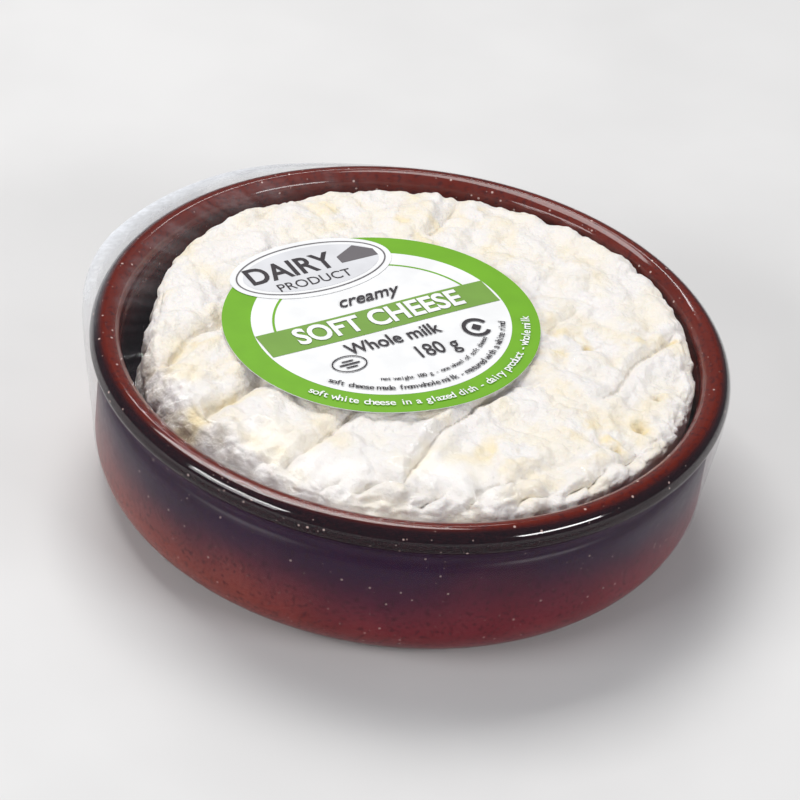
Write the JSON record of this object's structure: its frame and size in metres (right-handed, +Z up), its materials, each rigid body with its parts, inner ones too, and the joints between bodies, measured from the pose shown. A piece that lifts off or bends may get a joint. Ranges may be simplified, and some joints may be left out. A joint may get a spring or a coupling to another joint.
{
  "type": "soft cheese wheel in a dish",
  "caption": "Soft white-rinded cheese wheel sitting in a round glazed earthenware dish, sealed in clear film with a paper label on top.",
  "frame": {"origin": "centre of the underside, on the surface it rests on", "axes": "+Z up through the middle of the wheel; -Y towards the front, where the label's print reads from lower left to upper right; +X to the right"},
  "size_m": [0.1212, 0.1212, 0.0354],
  "materials": {
    "glazed_earthenware": "glossy brown-red glaze, darker under the rim, finely speckled, bare clay on the base",
    "cheese_rind": "soft, matt, creased ivory-white rind with pale yellow in the folds",
    "clear_film": "thin, clear, glossy stretch film with faint creases",
    "label_paper": "smooth coated white paper printed in green, grey and black"
  },
  "bodies": {
    "root": {"dish": "glazed_earthenware", "cheese": "cheese_rind", "film": "clear_film", "label": "label_paper"}
  },
  "joints": []
}
